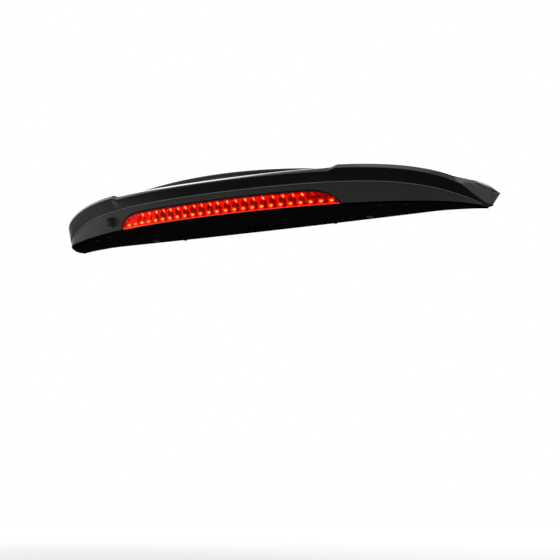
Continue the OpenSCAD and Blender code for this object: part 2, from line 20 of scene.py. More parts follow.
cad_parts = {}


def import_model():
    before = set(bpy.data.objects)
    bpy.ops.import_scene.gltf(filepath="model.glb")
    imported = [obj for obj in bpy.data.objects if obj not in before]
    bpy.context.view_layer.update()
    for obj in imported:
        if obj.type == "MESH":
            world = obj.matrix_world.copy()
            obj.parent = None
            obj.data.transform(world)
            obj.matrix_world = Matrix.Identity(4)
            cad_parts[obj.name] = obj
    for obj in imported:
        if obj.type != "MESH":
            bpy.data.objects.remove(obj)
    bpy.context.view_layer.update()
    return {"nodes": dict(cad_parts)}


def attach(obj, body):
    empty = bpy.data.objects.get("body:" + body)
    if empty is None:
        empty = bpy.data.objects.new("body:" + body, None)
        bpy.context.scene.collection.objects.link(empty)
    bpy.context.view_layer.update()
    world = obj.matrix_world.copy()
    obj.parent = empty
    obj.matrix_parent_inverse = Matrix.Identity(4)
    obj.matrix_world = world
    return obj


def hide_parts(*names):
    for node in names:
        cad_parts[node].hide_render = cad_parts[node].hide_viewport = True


log = logging.getLogger("roof_spoiler")

MM = 0.001
BODY = "root"
DRIFT_MM = 60
Line = list[Vector]
Pair = tuple[float, float]
Rgba = tuple[float, float, float, float]


def clamp01(x: float) -> float:
    """Return x kept between 0 and 1."""
    return min(1.0, max(0.0, x))


def smooth(low: float, high: float, x: float) -> float:
    """Return a soft step from 0 at low to 1 at high."""
    t = clamp01((x - low) / (high - low))
    return t * t * (3.0 - 2.0 * t)


def mix(a: float | Vector, b: float | Vector, t: float) -> float | Vector:
    """Return the value that lies t of the way from a to b."""
    return a * (1.0 - t) + b * t


def from_cell(value: float, shift: float) -> float:
    """Return how far value lies from the nearest whole number plus shift."""
    return (value - shift + 0.5) % 1.0 - 0.5


def rounded(p: Vector, q: Vector, r: Vector, size: float, steps: int = 6, limit: float = 0.4) -> Line:
    """Round the corner q of a section.

    Args:
        p: The point before the corner.
        q: The corner.
        r: The point after the corner.
        size: How far from the corner it starts, in mm.
        steps: The number of spans.
        limit: The largest share of each side that it takes.

    Returns:
        The points of the round.
    """
    a = q + (p - q).normalized() * min(size, limit * (p - q).length)
    b = q + (r - q).normalized() * min(size, limit * (r - q).length)
    ts = [i / steps for i in range(steps + 1)]
    return [a * (1 - t) ** 2 + q * 2 * t * (1 - t) + b * t * t for t in ts]


@dataclass(frozen=True)
class SpoilerForm:
    """Guide curves of the spoiler, from the same sizes as the CAD source, in mm.

    A section point is (y from the middle of the rear bottom edge, z). A station s runs from -1 to 1 over the width.
    """

    spoiler_w: float = 1170.0
    spoiler_d: float = 220.0
    front_bow: float = 20.0
    sweep_d: float = 124.0
    corner_w: float = 74.0
    corner_d: float = 60.0
    solid_w: float = 58.0
    end_tuck: float = 10.0
    mount_back: float = 150.0
    edge_z: float = 10.0
    edge_crown: float = 4.0
    tip_drop: float = 15.0
    panel_h: float = 45.2
    panel_lean: float = 23.0
    recess_h: float = 66.1
    horn_h: float = 68.8
    tip_h: float = 27.2
    crest_h: float = 90.5
    crest_crown: float = 65.0
    front_h: float = 107.0
    roof_crown: float = 73.0
    shoulder_drop: float = 21.0
    shoulder_w: float = 86.0
    lip_back: float = 28.6
    horn_back: float = 33.3
    chamfer_d: float = 10.0
    end_chamfer_d: float = 3.0
    parting_fall: float = 0.91
    lip_fall: float = 0.515
    ridge_fall: float = 0.73
    lip_round_h: float = 7.5
    lip_end: float = 0.994
    lip_end_w: float = 0.048
    side_s: float = 0.88
    fold_s: Pair = (0.94, 0.96)
    fold_point: int = 15
    recess_half: float = 288.0
    ramp_l: float = 24.0
    cap_reach: float = 55.0
    cap_step: float = 3.8
    cap_lip: float = 2.3
    base_wall: float = 2.8
    cap_wall: float = 2.5
    flange_d: float = 28.0
    front_flange_h: float = 10.0
    seat_gap: float = 0.3
    lamp_half: float = 304.0
    lamp_end: float = 72.0
    lamp_share: float = 0.7
    # the lens sits this far under the opening, so the black gasket shows as a wide upper band: partly the real gasket,
    # partly painted shade under the panel's edge
    lamp_gap: float = 3.0
    lens_d: float = 10.0
    jet_gap: float = 33.0
    jet_h: float = 20.5

    @property
    def half_w(self) -> float:
        """Half of the width at the front edge."""
        return self.spoiler_w / 2

    @property
    def tip_x(self) -> float:
        """Half of the width at the rear bottom edge."""
        return self.half_w - self.end_tuck

    @property
    def corner_s(self) -> float:
        """Station where the turned corner starts."""
        return 1 - self.corner_w / self.tip_x

    @property
    def hollow_end(self) -> float:
        """Station where the cap becomes solid."""
        return 1 - 0.2 * self.solid_w / self.tip_x

    @property
    def jet_x(self) -> float:
        """Middle of the washer jet."""
        return -self.lamp_half - self.jet_gap

    def sweep_y(self, s: float) -> float:
        """Return how far the rear edge lies forward at station s."""
        corner = max(0.0, abs(s) - self.corner_s) / (1 - self.corner_s)
        return self.sweep_d * s * s + self.corner_d * corner**3

    def turn(self, s: float) -> float:
        """Return how much longer a section is than a square cut through the wall."""
        slope = (self.sweep_y(abs(s) + 0.004) - self.sweep_y(abs(s) - 0.004)) / (0.008 * self.tip_x)
        return min(2.2, math.hypot(1, slope))

    def past_recess(self, s: float, start: float, end: float) -> float:
        """Return a soft step from start to end, in mm past the recess."""
        return smooth(self.recess_half + start, self.recess_half + end, abs(s) * self.tip_x)

    def horn(self, s: float) -> float:
        """Return 0 in the recess and 1 on the raised sides."""
        return self.past_recess(s, 0, self.ramp_l)

    def rim_horn(self, s: float) -> float:
        """Return the same ramp for the cap's forward rim."""
        return self.past_recess(s, -1, self.ramp_l)

    def edge(self, s: float) -> Vector:
        """Return the rear bottom edge."""
        z = self.edge_z + self.edge_crown * s * s - (self.edge_crown + self.tip_drop) * s**4
        return Vector((self.sweep_y(s), z))

    def parting(self, s: float) -> Vector:
        """Return the line where the cap ends over the panel."""
        rise = self.panel_h * (1 - s**6) ** self.parting_fall
        return self.edge(s) + Vector((-self.panel_lean * (1 - s * s), rise))

    def lip(self, s: float) -> Vector:
        """Return the upper end of the cap's rear face."""
        back = -self.lip_back * (1 - s**4) - self.horn_back * s * s * (1 - s * s)
        rise = mix(self.recess_h - 20 * s * s, self.horn_h * (1 - s**6) ** self.lip_fall, self.horn(s))
        low = self.panel_h * (1 - s**6) ** self.parting_fall
        return self.edge(s) + Vector((back, mix(low, rise, clamp01((self.lip_end - abs(s)) / self.lip_end_w) ** 0.8)))

    def top_edge(self, s: float) -> Vector:
        """Return the top of the chamfer, or of the round in the recess."""
        low = self.recess_h + self.lip_round_h - self.edge_crown * s * s
        high = self.tip_h + (self.horn_h + self.chamfer_d - self.tip_h) * (1 - s**6) ** self.ridge_fall
        deep = mix(self.chamfer_d, self.end_chamfer_d, smooth(0.66, 1, abs(s)))
        return Vector((self.lip(s).x + deep, self.edge(s).y + mix(low, high, self.horn(s))))

    def front_edge(self, s: float) -> Vector:
        """Return the front edge."""
        shoulder = max(0.0, 1 - self.half_w * (1 - abs(s)) / self.shoulder_w) ** 3
        z = self.edge_z + self.front_h - self.roof_crown * s * s - self.shoulder_drop * shoulder
        return Vector((self.spoiler_d - self.front_bow * s * s, z))

    def panel_top(self, s: float) -> Vector:
        """Return the top of the grey panel, under the cap's step."""
        return self.parting(s) + Vector((self.cap_step * self.turn(s), 0))

    def panel_rise(self, s: float) -> float:
        """Return the height of the grey panel."""
        return (self.panel_top(s) - self.edge(s)).y

    def panel(self, s: float, q: float) -> Vector:
        """Return the point at share q of the panel's height."""
        return mix(self.edge(s), self.panel_top(s), q)

    def tape_reach(self, s: float) -> Vector:
        """Return the step from the panel's top to the top of the tape."""
        face = self.lip(s) - self.parting(s)
        return face.normalized() * min(10.0, 0.35 * face.length)

    def crest(self, s: float) -> Vector:
        """Return the crest of the base shell."""
        low = Vector((self.edge(s).x - 6, self.edge_z + self.crest_h - self.crest_crown * s * s))
        high = self.top_edge(s) + Vector((2 * self.turn(s), -self.cap_wall * self.turn(s) - 2.8))
        return mix(low, high, self.past_recess(s, -14, 0.3 * self.ramp_l))

    def base_front(self, s: float) -> Vector:
        """Return the front edge of the base shell."""
        inset = Vector((self.cap_wall * self.turn(s) + 1, self.cap_wall * self.turn(s) + 0.8))
        return self.front_edge(s) - inset * smooth(0.7, 0.78, abs(s))

    def skin_mid(self, s: float) -> Vector:
        """Return the middle of the top skin."""
        return mix(self.crest(s), self.base_front(s), 0.5) + Vector((0, 2 * (1 - s * s)))

    def skin_z(self, s: float, y: float) -> float:
        """Return the height of the top skin at depth y."""
        a, b, c = self.crest(s), self.skin_mid(s), self.base_front(s)
        if y <= b.x:
            return mix(a.y, b.y, clamp01((y - a.x) / (b.x - a.x)))
        return mix(b.y, c.y, clamp01((y - b.x) / (c.x - b.x)))

    def flange(self, s: float) -> float:
        """Return the depth of the rear flange."""
        return min(self.flange_d, 0.3 * (self.base_front(s).x - self.edge(s).x))

    def lamp_q(self, s: float, grow: float) -> float:
        """Return the light's upper edge as a share of the panel's height."""
        u = clamp01((abs(s) * self.tip_x - (self.lamp_half + grow - self.lamp_end)) / self.lamp_end)
        return (self.lamp_share + grow / self.panel_h) * (1 - u**2.2) ** 0.7

    def base_line(self, s: float) -> Line:
        """Return the outer section of the base shell, from the rear flange to the front flange."""
        low, top, crest, front = self.panel(s, self.lamp_q(s, 0)), self.panel_top(s), self.crest(s), self.base_front(s)
        land, mid = top + self.tape_reach(s), self.skin_mid(s)
        end = front - Vector((0, self.front_flange_h))
        inner = low + Vector((self.flange(s), 0))
        face = self.panel_top(s) - self.edge(s)
        brim = top - face * min(0.2, 1.7 / max(face.y, 1.0))
        groove = brim + Vector((min(3.2, 0.2 * face.y + 0.2), 0.4))
        line = [inner, *rounded(inner, low, brim, 2.2, 4), mix(low, brim, 0.35), mix(low, brim, 0.7),
                *rounded(low, brim, groove, 1.7, 5), groove, mix(groove, land, 0.6), land,
                *rounded(land, crest, mid, 12), mix(crest, mid, 0.6), *rounded(crest, mid, front, 30, 4),
                mix(mid, front, 0.6), *rounded(mid, front, end, 3.2, 4), end]
        fold, first = smooth(*self.fold_s, abs(s)), self.fold_point
        return line[:first] + [mix(p, groove + (p - groove) * 0.04, fold) for p in line[first:]]

    def scarp_y(self, s: float, z: float) -> float:
        """Return the depth of the scarp behind the recess at height z."""
        a, b = self.panel_top(s) + self.tape_reach(s), self.crest(s)
        return a.x + (b.x - a.x) * (z - a.y) / (b.y - a.y)

    def cap_front(self, s: float) -> Vector:
        """Return the forward edge of the cap's top."""
        e, f = self.top_edge(s), self.front_edge(s)
        low = e.y - 0.8
        in_recess = Vector((self.scarp_y(s, low) - 0.4, low))
        y = mix(e.x + self.cap_reach, f.x, smooth(0.55, self.side_s, abs(s)))
        on_skin = Vector((y, self.skin_z(s, y) + self.cap_wall * self.turn(s) + self.seat_gap + 0.3))
        return mix(mix(in_recess, on_skin, self.rim_horn(s)), f, smooth(0.82, self.side_s, abs(s)))

    def cap_edge(self, s: float) -> Vector:
        """Return the lower end of the cap's forward rim."""
        f, low = self.cap_front(s), self.top_edge(s).y - 0.8
        drop = mix(self.cap_lip, 12, smooth(self.side_s, self.hollow_end, abs(s)))
        in_recess = f + Vector((self.scarp_y(s, low - self.cap_lip) - self.scarp_y(s, low), -self.cap_lip))
        at_side = mix(f - Vector((0, drop)), self.edge(s) + Vector((4, 1)), smooth(self.hollow_end, 1, abs(s)))
        return mix(in_recess, at_side, self.rim_horn(s))

    def cap_line(self, s: float) -> Line:
        """Return the outer section of the cap, from its lower rear edge to its forward rim."""
        a, d, e, f, rim = self.parting(s), self.lip(s), self.top_edge(s), self.cap_front(s), self.cap_edge(s)
        mid = mix(e, f, 0.5) + Vector((0, 1.5 * self.horn(s)))
        reach = self.tape_reach(s)
        back = a + Vector((self.cap_step * self.turn(s) - 0.4, 0.5))
        fall, crown = mix(6, 2.2, self.horn(s)), mix(5, 2.4, self.horn(s))
        return [back, *rounded(back, a, a + reach, 0.9, 4), a + reach, mix(a + reach, d, 0.45),
                *rounded(a, d, e, fall, 6, 0.45), mix(d, e, 0.5), *rounded(d, e, mid, crown, 6, 0.45),
                mix(e, mid, 0.5), mid, mix(mid, f, 0.55), *rounded(mid, f, rim, 1.6, 4), rim]

    def reach(self, s: float, p: Vector) -> float:
        """Return how far a section point lies towards the full width."""
        back = clamp01((p.x - self.edge(s).x) / (self.front_edge(s).x - self.edge(s).x))
        up = clamp01((p.y - self.edge(s).y - 2) / self.tip_h) * smooth(2, 16, p.x - self.edge(s).x)
        return mix(back, up, smooth(0.9, 0.985, abs(s)))

    def placed(self, s: float, line: Line) -> Line:
        """Return the section's points in the part's own frame, in metres."""
        return [Vector((s * mix(self.tip_x, self.half_w, self.reach(s, p)), p.x - self.mount_back, p.y)) * MM
                for p in line]

    def on_panel(self, x: float, h: float, depth: float = 0.0) -> Matrix:
        """Return the place of a piece on the panel.

        Args:
            x: The place across the width, in mm.
            h: The height over the bottom edge, in mm.
            depth: How far it is set back along Y, in mm.

        Returns:
            A matrix whose local Z is the panel's outward normal, in metres.
        """
        s = x / self.tip_x
        rise = self.panel_top(s) - self.edge(s)
        p = self.panel(s, h / rise.y)
        slope = (self.sweep_y((x + 4) / self.tip_x) - self.sweep_y((x - 4) / self.tip_x)) / 8
        turn_z = Matrix.Rotation(math.atan(slope), 4, "Z")
        lean = Matrix.Rotation(math.pi / 2 + math.atan(-rise.x / rise.y), 4, "X")
        place = Vector((x, p.x + depth - self.mount_back, p.y)) * MM
        return Matrix.Translation(place) @ turn_z @ lean


FORM = SpoilerForm()


def stations(last: float, spans: int = 190, extra: Sequence[float] = ()) -> list[float]:
    """Return stations from -last to last, closer at the ramps and the corners.

    Args:
        last: The outermost station.
        spans: The number of even spans over the width.
        extra: Further places, in mm from the middle.
    """
    even = [last * i / spans for i in range(-spans, spans + 1, 2)]
    ramp = [(FORM.recess_half - 4 + i) / FORM.tip_x for i in range(0, 34, 2)]
    bend = [FORM.corner_s + (last - FORM.corner_s) * i / 30 for i in range(31)]
    half = ramp + bend + [x / FORM.tip_x for x in extra]
    closest = 0.0012
    every = sorted(even + [sign * s for s in half for sign in (-1, 1) if s < last])
    kept = [every[0]]
    for s in every[1:]:
        if s - kept[-1] > closest:
            kept.append(s)
    kept[-1] = last
    return kept


# Finishes


def linear(hex_colour: str) -> Rgba:
    """Return an sRGB hex colour such as "#1c1d1e" as linear red, green, blue and an alpha of 1."""
    parts = [int(hex_colour[i : i + 2], 16) / 255 for i in (1, 3, 5)]
    r, g, b = (c / 12.92 if c <= 0.04045 else ((c + 0.055) / 1.055) ** 2.4 for c in parts)
    return r, g, b, 1.0


def add_node(tree: NodeTree, kind: str, links: dict | None = None,
             stops: Sequence[tuple[float, str]] = (), **settings: object) -> bpy.types.Node:
    """Add a node with its settings and its links.

    Args:
        tree: The tree that gets the node.
        kind: The node's type, less "ShaderNode".
        links: Socket name or number, to a value or to the output that feeds it.
        stops: Places and colours of a colour ramp, from low to high.
        settings: The node's own settings.

    Returns:
        The new node.
    """
    node = tree.nodes.new("ShaderNode" + kind)
    for name, value in settings.items():
        setattr(node, name, value)
    for key, value in (links or {}).items():
        if isinstance(value, NodeSocket):
            tree.links.new(value, node.inputs[key])
        else:
            node.inputs[key].default_value = value
    for i, (place, colour) in enumerate(stops):
        element = node.color_ramp.elements[i] if i < 2 else node.color_ramp.elements.new(place)
        element.position, element.color = place, linear(colour)
    return node


def blank_material(name: str) -> tuple[Material, NodeTree]:
    """Return a new node material and its empty tree."""
    made = bpy.data.materials.new(name)
    made.use_nodes = True
    made.node_tree.nodes.clear()
    return made, made.node_tree


class Surface(Enum):
    """How the real surface was made."""

    POLISHED = "polished mould"
    GRAINED = "grained mould"
    FOAM = "closed-cell foam"
    PLATED = "zinc plated"
    BOARD = "coated board"


@dataclass(frozen=True)
class Finish:
    """One finish, named for its material, with the detail that its surface shows.

    The colour drifts to the second one, and the roughness varies by the spread. The gloss tints the face-on
    reflection, or a metal's edges.
    """

    name: str
    colour: str
    second: str
    roughness: float
    spread: float = 0.04
    grain_mm: float = 0.6
    depth_mm: float = 0.01
    specular: float = 0.5
    gloss: str = "#ffffff"
    metallic: float = 0.0
    surface: Surface = Surface.GRAINED

    def build(self) -> Material:
        """Return the finish as a node material."""
        made, tree = blank_material(self.name)
        place = add_node(tree, "TexCoord").outputs["Object"]
        drift = add_node(tree, "TexNoise", {"Vector": place, "Scale": 1 / (DRIFT_MM * MM), "Detail": 2.0})
        fine = self.pattern(tree, place)
        # A mix node keeps one set of sockets per kind of data, so its colour sockets go by number
        tint = add_node(tree, "Mix", {0: drift.outputs["Fac"], 6: linear(self.colour),
                                                7: linear(self.second)}, data_type="RGBA")
        rough = add_node(tree, "MapRange", {"Value": fine, "To Min": max(0.0, self.roughness - self.spread),
                                                      "To Max": min(1.0, self.roughness + self.spread)})
        bump = add_node(tree, "Bump", {"Height": fine, "Strength": 1.0, "Distance": self.depth_mm * MM})
        shader = add_node(tree, "BsdfPrincipled", {
            "Base Color": tint.outputs[2], "Roughness": rough.outputs["Result"], "Metallic": self.metallic,
            "Specular IOR Level": self.specular, "Specular Tint": linear(self.gloss),
            "Normal": bump.outputs["Normal"]})
        add_node(tree, "OutputMaterial", {"Surface": shader.outputs["BSDF"]})
        made.diffuse_color = linear(self.colour)
        return made

    def pattern(self, tree: NodeTree, place: NodeSocket) -> NodeSocket:
        """Return the height of the surface's own pattern, at its size in mm."""
        scale = 1 / (self.grain_mm * MM)
        if self.surface in (Surface.FOAM, Surface.PLATED):
            cells = add_node(tree, "TexVoronoi", {"Vector": place, "Scale": scale}, feature="F1")
            return cells.outputs["Distance"]
        detail = 1.0 if self.surface is Surface.POLISHED else 4.0
        noise = add_node(tree, "TexNoise", {"Vector": place, "Scale": scale, "Detail": detail})
        return noise.outputs["Fac"]


# Injection-moulded ABS, polished mould: deep black with a faint long-wave ripple like orange peel. Its reflection is
# kept low and tinted almost black, so its faces read as dark as if they mirrored a dark room: painted dark reflection
GLOSS_ABS = Finish("gloss_black_abs", "#0e0e0e", "#101010", 0.1, 0.02, 9.0, 0.012, 0.13, "#141414",
                   surface=Surface.POLISHED)
# A brighter-reflecting copy of the same plastic, with the full gloss, on the faces towards the sky (chamfer, top and
# ends): painted highlights
GLOSS_TOP = Finish("gloss_black_abs_top", "#090909", "#0b0b0c", 0.14, 0.02, 9.0, 0.012, 0.42,
                   surface=Surface.POLISHED)
# Painted ABS panel, satin clear coat: dark slate grey, soft wide highlights
SATIN_GREY = Finish("satin_grey_paint", "#2a2a2a", "#2e2e2e", 0.3, 0.03, 5.0, 0.008, 0.18, "#303030",
                    surface=Surface.POLISHED)
# The same paint, lighter and glossier, on the fine edge under the cap: a painted highlight along the joint
BEAD_HIGHLIGHT_GREY = Finish("satin_grey_bead_highlight", "#3c3c3c", "#444444", 0.3, 0.03, 5.0, 0.004, 0.4,
                   surface=Surface.POLISHED)
# Textured black ABS of the underside, its sheen taken out and its colour set near black: partly its own black, partly
# painted shade under the spoiler
UNDERSIDE_ABS_AND_SHADE = Finish("underside_black_abs_and_shade", "#050505", "#070707", 0.8, 0.05, 0.8, 0.02, 0.0)
# Fine-grain black nylon or ABS of the housing, the nozzle, the nut and the barb
BLACK_PLASTIC = Finish("black_grained_plastic", "#0f0f10", "#151516", 0.5, 0.06, 0.7, 0.02, 0.35)
# Dull black nylon of pins and rivets, kept near black with almost no sheen: partly their own black, partly the painted
# shade of the underside that they stand on
MATTE_BLACK = Finish("matte_black_nylon", "#070707", "#0a0a0a", 0.75, 0.06, 0.7, 0.02, 0.02)
# Grained grey plastic of the jet's knob, close to the grey of the panel
JET_GREY = Finish("jet_grey_plastic", "#262626", "#2b2b2b", 0.42, 0.05, 0.6, 0.012, 0.16, "#404040")
# Closed-cell foam of the gasket and tapes: dull, with small pores
FOAM = Finish("black_foam", "#060606", "#0a0a0a", 0.85, 0.05, 0.7, 0.08, 0.1, surface=Surface.FOAM)
# EPDM rubber of the seal, the buffers, the pads and the jet's gasket
RUBBER = Finish("epdm_rubber", "#0a0a0a", "#0f0f0f", 0.72, 0.06, 0.9, 0.02, 0.06)
# Solder mask over glass-fibre board
BOARD = Finish("solder_mask_board", "#0d3a1c", "#114a24", 0.3, 0.05, 1.2, 0.01, surface=Surface.BOARD)
# Black-passivated zinc on steel: a faint dark spangle
ZINC = Finish("black_zinc_steel", "#232427", "#2d2e32", 0.4, 0.08, 2.2, 0.004, gloss="#1c1c1e",
              metallic=1.0, surface=Surface.PLATED)
# Black oxide screws
BLACK_STEEL = Finish("black_oxide_steel", "#0c0c0e", "#131316", 0.6, 0.08, 0.5, 0.01, gloss="#08080a",
                     metallic=1.0)
# Brass contact blades
BRASS = Finish("contact_brass", "#c7a24a", "#b8923f", 0.25, 0.05, 0.4, 0.003, metallic=1.0)


@dataclass(frozen=True)
class RedLens:
    """Clear red PMMA of the lens: deep tint, sharp gloss, a long faint ripple. Its reflection is tinted dark red and
    its IOR kept low, so it mirrors little of the white room: painted dark reflection.
    """

    name: str = "red_pmma_lens"
    colour: str = "#ff8464"
    dim_reflection_tint: str = "#2a0806"
    ior: float = 1.16
    ripple_mm: float = 14.0

    def build(self) -> Material:
        """Return the lens material."""
        made, tree = blank_material(self.name)
        place = add_node(tree, "TexCoord").outputs["Object"]
        wave = add_node(tree, "TexNoise", {"Vector": place, "Scale": 1 / (self.ripple_mm * MM)})
        bump = add_node(tree, "Bump", {"Height": wave.outputs["Fac"], "Distance": 0.01 * MM})
        shader = add_node(tree, "BsdfPrincipled", {
            "Base Color": linear(self.colour), "Roughness": 0.02, "IOR": self.ior, "Transmission Weight": 1.0,
            "Specular Tint": linear(self.dim_reflection_tint), "Normal": bump.outputs["Normal"]})
        add_node(tree, "OutputMaterial", {"Surface": shader.outputs["BSDF"]})
        return made


@dataclass(frozen=True)
class LampGlow:
    """Lit reflector behind the lens: red bars, dark meshed pockets and a halo round each point of light, all given off
    as painted lamplight.

    The piece's own attribute "lamp" says where a pattern lies. Red is half the distance from a pocket's middle, green
    half the distance from a painted point of light less its core, both in shares of its size: the lower points glow
    round the LEDs, the upper ones are painted reflections of them. Blue is the dark of ribs and marks and the painted
    shade under the upper edge, and alpha is 1 on the lip below.
    """

    name: str = "lit_red_reflector"
    pitch_mm: float = 23.3
    low_row: float = 8.0
    high_row: float = 4.6
    pocket_at: float = 0.3
    pocket_h: float = 14.6
    pocket_size: Pair = (9.4, 10.2)
    mesh_mm: float = 3.4
    core: float = 0.07
    low_halo: Pair = (7.0, 6.4)
    high_halo: Pair = (6.0, 5.0)
    high_at: float = 0.42
    mark_h: float = 5.6
    mark: Pair = (6.4, 2.6)
    cell_w: float = 14.0
    cell_h: float = 11.0
    ribs: tuple[Pair, ...] = ((-254, 1.0), (-245, 0.8), (-232, 0.95), (-208, 0.9), (-191, 0.9))

    def oval(self, u: float, at: float, up: float, size: Pair) -> float:
        """Return the distance from the middle of a mark that comes once per LED, in shares of its size."""
        return math.hypot(from_cell(u, at) * self.pitch_mm / size[0], up / size[1])

    def masks(self, x: float, h: float, rim: float) -> Rgba:
        """Return the attribute's four values.

        Args:
            x: The place across the width, in mm.
            h: The height over the bottom edge, in mm.
            rim: The distance under the upper edge, in mm.
        """
        u = x / self.pitch_mm
        sway = 0.5 * (math.sin(2.9 * u) + math.sin(1.3 * u + 1.0))
        pocket = self.oval(u, self.pocket_at, h - self.pocket_h, self.pocket_size) + 0.07 * sway
        if not -7.9 < u < 9.5:
            pocket = 2.0
        # painted glow round each LED, and a painted reflection of each LED in the row under the upper edge
        low = self.oval(u, 0, h - self.low_row, self.low_halo)
        high = self.oval(u + 0.1 * sway, self.high_at, rim - self.high_row, self.high_halo)
        high += smooth(10.2, 10.6, abs(u))
        return 0.5 * pocket, 0.5 * min(low, high) - self.core, self.dark(x, h, rim), 0.0

    def dark(self, x: float, h: float, rim: float) -> float:
        """Return the dark of the ribs, the marks, the cells at the right end and the painted shade under the rim."""
        u = x / self.pitch_mm
        mark = self.oval(u, self.high_at, h - self.mark_h, self.mark)
        dark = 0.92 * smooth(1.1, 0.75, mark) * smooth(-9, -8, u)
        for at, strength in self.ribs:
            line = smooth(2.8, 1.4, abs(x - 0.55 * h - at)) * smooth(9, 11, h) * smooth(24, 21, h)
            dark = max(dark, strength * line)
        across, up = 2 * abs(from_cell(x / self.cell_w, 0.2)), 2 * abs(from_cell(h / self.cell_h, 0.1))
        cell = mix(0.66, 1.0, smooth(0.62, 0.74, max(across, up))) * smooth(0.03, 0.07, abs(across - 0.95))
        dark = mix(dark, cell, smooth(9.5, 9.8, u) * smooth(5.5, 7.5, h))
        # painted shade in a band under the upper edge, where the panel's edge overhangs the lens
        return max(dark, 0.86 * smooth(3.4, 1.6, rim) * smooth(11.6, 11.2, abs(u)))

    def build(self) -> Material:
        """Return the glowing material."""
        made, tree = blank_material(self.name)
        place = add_node(tree, "TexCoord").outputs["Object"]
        lamp = add_node(tree, "Attribute", attribute_name="lamp")
        mask = add_node(tree, "SeparateColor", {"Color": lamp.outputs["Color"]}).outputs
        grain = add_node(tree, "TexNoise", {"Vector": place, "Scale": 1 / (4.2 * MM), "Detail": 3.0,
                                                      "Roughness": 0.6})
        red = add_node(tree, "ValToRGB", {"Fac": grain.outputs["Fac"]},
                       [(0.3, "#a80000"), (0.45, "#e60400"), (0.6, "#ff1000"), (0.75, "#ff2808")])
        net = add_node(tree, "TexVoronoi", {"Vector": place, "Scale": 1 / (self.mesh_mm * MM)},
                       feature="DISTANCE_TO_EDGE")
        fill = add_node(tree, "ValToRGB", {"Fac": net.outputs["Distance"]},
                        [(0.0, "#420000"), (0.16, "#700000"), (0.4, "#a00200")])
        rim = add_node(tree, "MapRange", {"Value": mask[0], "From Min": 0.27, "From Max": 0.42})
        fill = add_node(tree, "Mix", {0: rim.outputs[0], 6: fill.outputs["Color"], 7: linear("#360000")},
                        data_type="RGBA")
        inside = add_node(tree, "MapRange", {"Value": mask[0], "From Min": 0.43, "From Max": 0.51,
                                                       "To Min": 1.0, "To Max": 0.0})
        halo = add_node(tree, "ValToRGB", {"Fac": mask[1]},
                        [(0.0, "#ffd888"), (0.08, "#ffb04a"), (0.15, "#ff6416"), (0.3, "#b41400"), (0.5, "#000000")])
        colour = red.outputs["Color"]
        for share, over, blend in ((inside.outputs[0], fill.outputs[2], "MIX"), (mask[2], linear("#1c0000"), "MIX"),
                                   (1.0, halo.outputs["Color"], "SCREEN"),
                                   (lamp.outputs["Alpha"], linear("#ff2a1c"), "MIX")):
            colour = add_node(tree, "Mix", {0: share, 6: colour, 7: over}, data_type="RGBA",
                              blend_type=blend).outputs[2]
        core = add_node(tree, "MapRange", {"Value": mask[1], "From Min": 0.06, "From Max": 0.17,
                                                     "To Min": 6.0, "To Max": 1.0})
        shader = add_node(tree, "BsdfPrincipled", {
            "Base Color": linear("#3c0402"), "Roughness": 0.35, "Emission Color": colour,
            "Emission Strength": core.outputs[0]})
        add_node(tree, "OutputMaterial", {"Surface": shader.outputs["BSDF"]})
        return made


@dataclass(frozen=True)
class LedLight:
    """Lit LED dome: warm core that clips towards yellow behind the red lens."""

    name: str = "lit_led"
    colour: str = "#ffe27a"
    second: str = "#ffa83c"
    strength: float = 3.0

    def build(self) -> Material:
        """Return the light-giving material."""
        made, tree = blank_material(self.name)
        place = add_node(tree, "TexCoord").outputs["Object"]
        drift = add_node(tree, "TexNoise", {"Vector": place, "Scale": 1 / (23 * MM)})
        warm = add_node(tree, "ValToRGB", {"Fac": drift.outputs["Fac"]},
                        [(0.35, self.second), (0.65, self.colour)])
        shader = add_node(tree, "BsdfPrincipled", {
            "Base Color": linear(self.colour), "Roughness": 0.3, "Emission Color": warm.outputs["Color"],
            "Emission Strength": self.strength})
        add_node(tree, "OutputMaterial", {"Surface": shader.outputs["BSDF"]})
        return made


AnyFinish = Finish | RedLens | LampGlow | LedLight


# Meshes


def grid(rows: Sequence[Line], lamp: Sequence[Rgba] = ()) -> BMesh:
    """Return a grid whose rows lie on the given sections, with its faces outwards.

    Args:
        rows: One line of points per section, all of one length, in metres.
        lamp: The values of the attribute "lamp" at each point, row by row.
    """
    bm = bmesh.new()
    layer = bm.verts.layers.float_color.new("lamp") if lamp else None
    high, wide = len(rows), len(rows[0])
    made = bmesh.ops.create_grid(bm, x_segments=wide - 1, y_segments=high - 1, size=1.0)["verts"]
    for vert, place in zip(made, (p for row in rows for p in row)):
        vert.co = place
    for vert, values in zip(made, lamp):
        vert[layer] = values
    bmesh.ops.reverse_faces(bm, faces=bm.faces)
    return bm


def as_mesh(bm: BMesh, name: str) -> bpy.types.Mesh:
    """Return a new mesh with what bm holds, and free bm."""
    mesh = bpy.data.meshes.new(name)
    bm.to_mesh(mesh)
    bm.free()
    return mesh


def linked(name: str, data: bpy.types.ID) -> Object:
    """Return a new object of the scene with the given mesh, light or camera."""
    made = bpy.data.objects.new(name, data)
    bpy.context.scene.collection.objects.link(made)
    return made


def paint(bm: BMesh, wide: int, starts: Sequence[int]) -> None:
    """Give each face of a grid the number of its band.

    Args:
        bm: The grid.
        wide: The number of points in a section.
        starts: The point of the section where each further band starts.
    """
    bm.verts.index_update()
    for face in bm.faces:
        first = min(vert.index % wide for vert in face.verts)
        face.material_index = sum(first >= start for start in starts)


